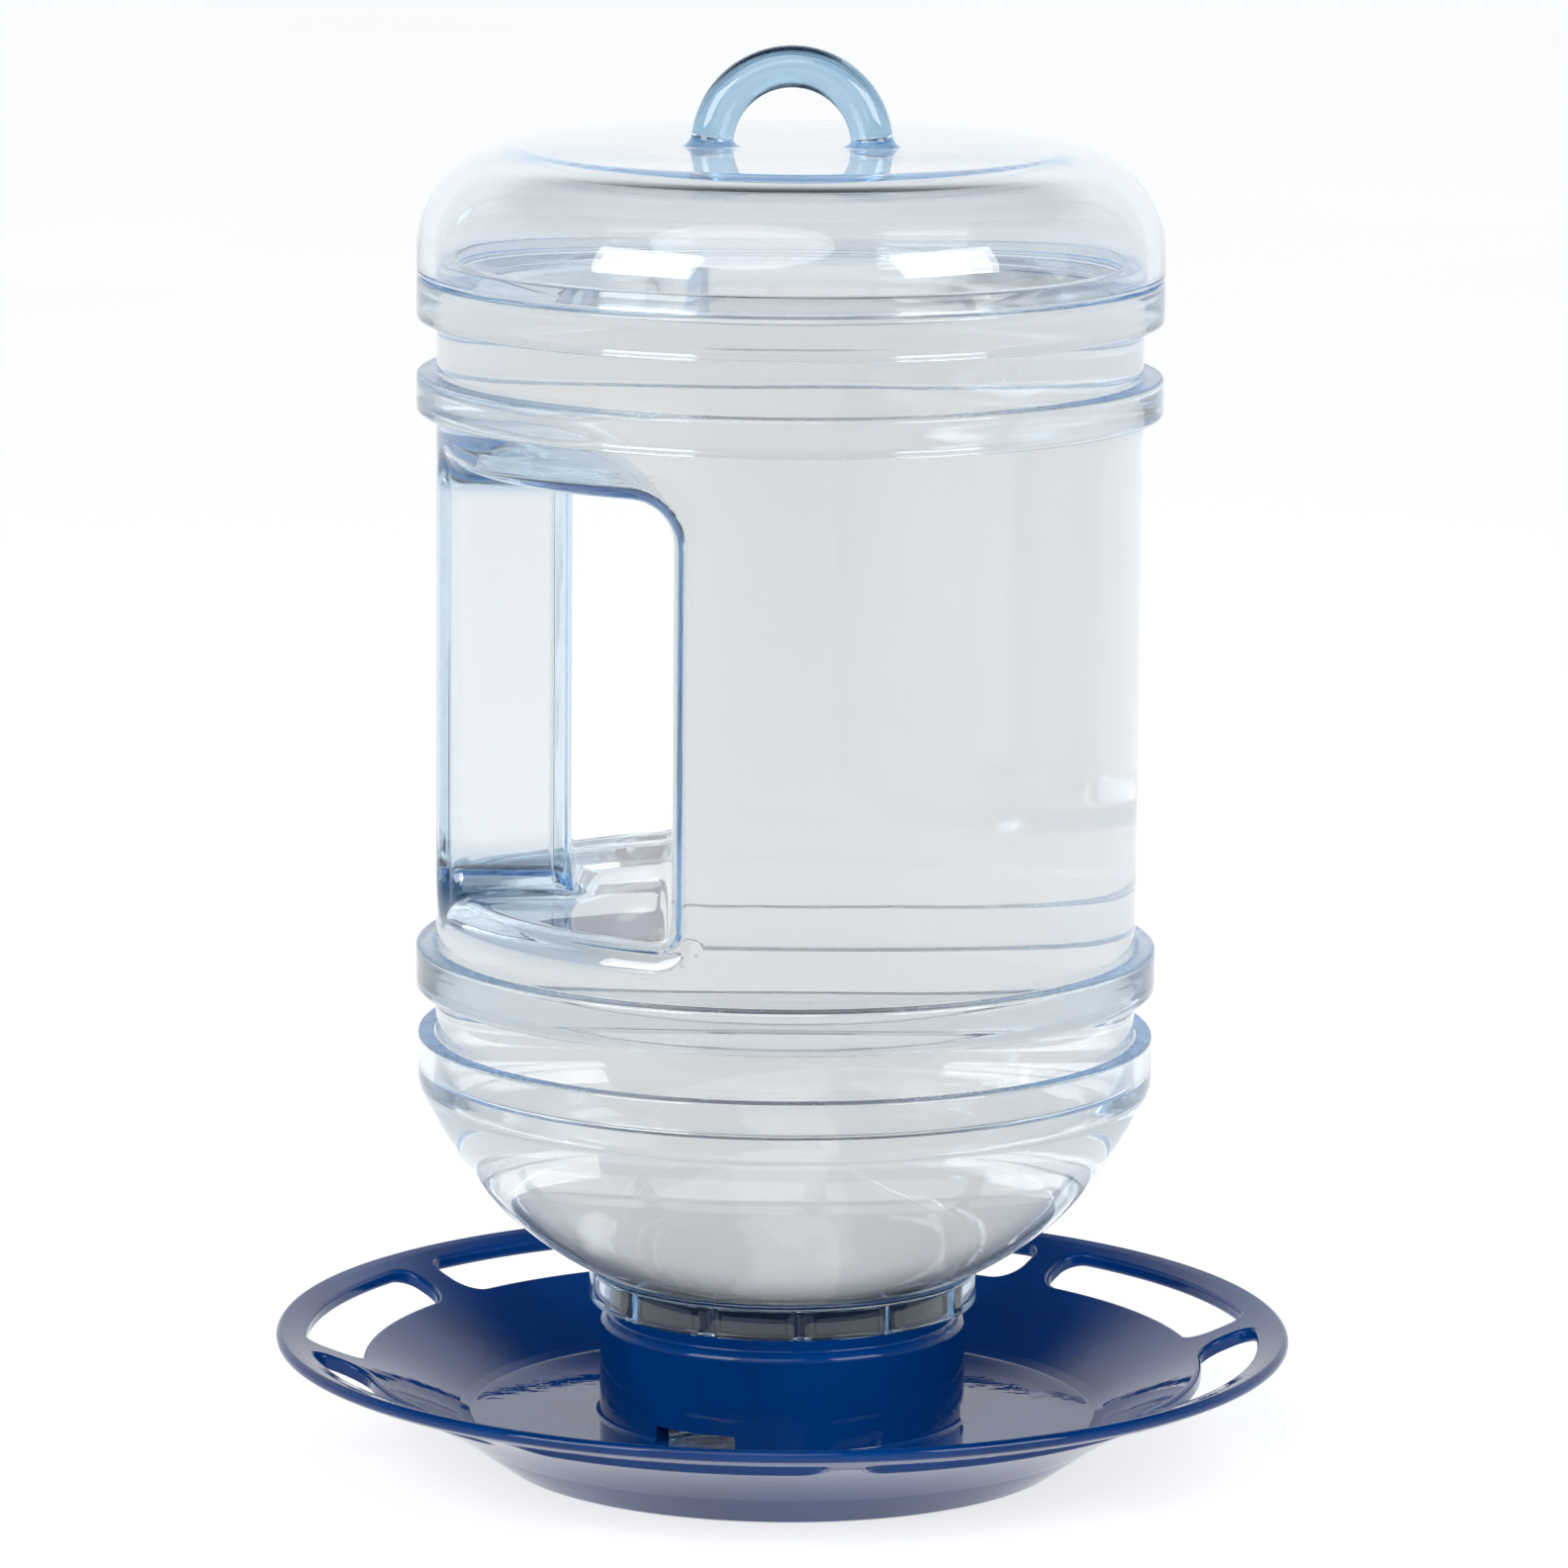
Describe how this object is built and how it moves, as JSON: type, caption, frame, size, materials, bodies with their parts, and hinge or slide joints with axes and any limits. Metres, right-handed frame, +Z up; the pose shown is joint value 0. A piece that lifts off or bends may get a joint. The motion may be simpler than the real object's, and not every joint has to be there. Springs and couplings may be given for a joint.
{
  "type": "hanging gravity waterer",
  "caption": "Clear bottle with a hanging loop and a carrying grip, screwed mouth down into the collar of a round open tray whose flange is pierced by slots.",
  "frame": {"origin": "centre of the tray's foot, on the surface it stands on", "axes": "+Z up through the tray, the bottle and the hanging loop; the carrying grip is on the -X side; -Y is the front"},
  "size_m": [0.1588, 0.1588, 0.2211],
  "materials": {
    "blue_plastic": "glossy moulded plastic",
    "dark_rubber": "matt rubber",
    "clear_plastic": "clear moulded plastic with a light blue tint"
  },
  "bodies": {
    "base": {"tray_base": "blue_plastic"},
    "seal": {"neck_seal": "dark_rubber"},
    "reservoir": {"lower_bowl": "clear_plastic", "barrel": "clear_plastic", "dome_cap": "clear_plastic"}
  },
  "joints": [
    {"name": "thread_lift", "type": "slide", "parent": "base", "child": "seal", "axis": [0, 0, 1], "range_m": [0, 0.01]},
    {"name": "unscrew", "type": "hinge", "parent": "seal", "child": "reservoir", "pos_m": [0, 0, 0.0166], "axis": [0, 0, 1], "range_deg": [0, 720]}
  ],
  "couplings": [
    {"joint": "thread_lift", "follows": "unscrew", "m_per_rad": 0.00079577}
  ]
}
